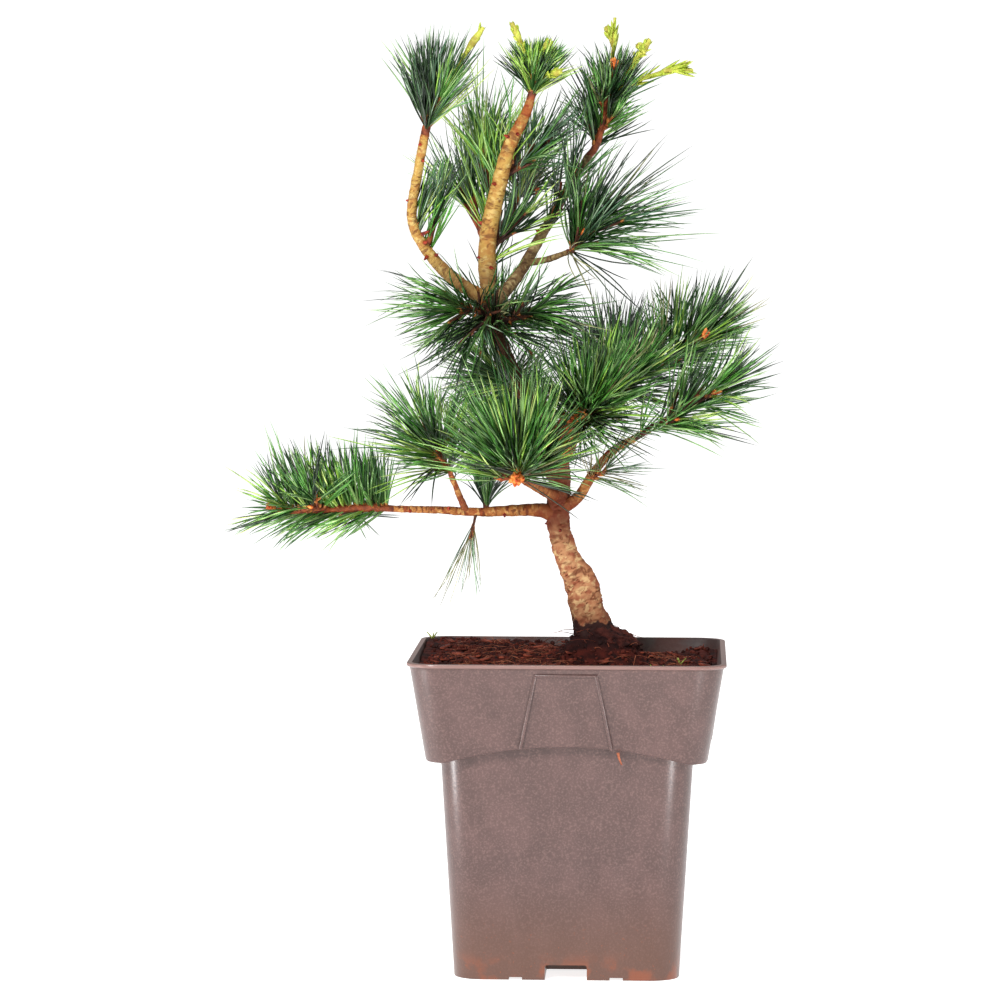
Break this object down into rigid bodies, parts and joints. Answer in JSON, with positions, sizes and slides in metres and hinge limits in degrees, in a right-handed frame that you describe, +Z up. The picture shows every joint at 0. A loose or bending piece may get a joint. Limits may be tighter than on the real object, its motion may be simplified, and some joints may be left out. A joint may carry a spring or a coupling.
{
  "type": "potted japanese white pine",
  "caption": "Young bonsai-style white pine with a leaning trunk, side boughs and upright leaders carrying tufts of needles, growing in a square nursery pot filled with soil.",
  "frame": {"origin": "middle of the pot's flat underside", "axes": "+Z up; the front is seen along +Y with +X to the right, and the long low bough points to -X"},
  "size_m": [0.2363, 0.1811, 0.3985],
  "materials": {
    "pot": "matte",
    "soil": "matte",
    "bark": "matte",
    "needles": "satin"
  },
  "bodies": {
    "root": {"pot": "pot", "potting_soil": "soil", "trunk": "bark", "bough_left_low": "bark", "bough_right_low": "bark", "bough_front": "bark", "bough_right_inner": "bark", "bough_right_upper": "bark", "bough_back_low": "bark", "bough_back_right": "bark", "leader_centre": "bark", "leader_left": "bark", "leader_right": "bark", "twig_left_inner": "bark", "twig_right_fan": "bark", "twig_upper_back": "bark", "needles_left_tip": "needles", "needles_left_hanging": "needles", "needles_left_rising": "needles", "needles_left_inner": "needles", "needles_front": "needles", "needles_right_inner": "needles", "needles_right_middle": "needles", "needles_right_upper": "needles", "needles_right_low": "needles", "needles_right_hanging": "needles", "needles_back_low": "needles", "needles_back_right": "needles", "needles_back_middle": "needles", "whorl_left": "needles", "whorl_front": "needles", "whorl_right": "needles", "whorl_back": "needles", "needles_left_leader": "needles", "needles_left_top": "needles", "needles_centre_left": "needles", "needles_centre_upper": "needles", "needles_centre_low": "needles", "needles_centre_right": "needles", "needles_centre_top": "needles", "needles_right_top": "needles", "needles_right_leader": "needles", "needles_right_fan": "needles", "needles_upper_back": "needles"}
  },
  "joints": []
}
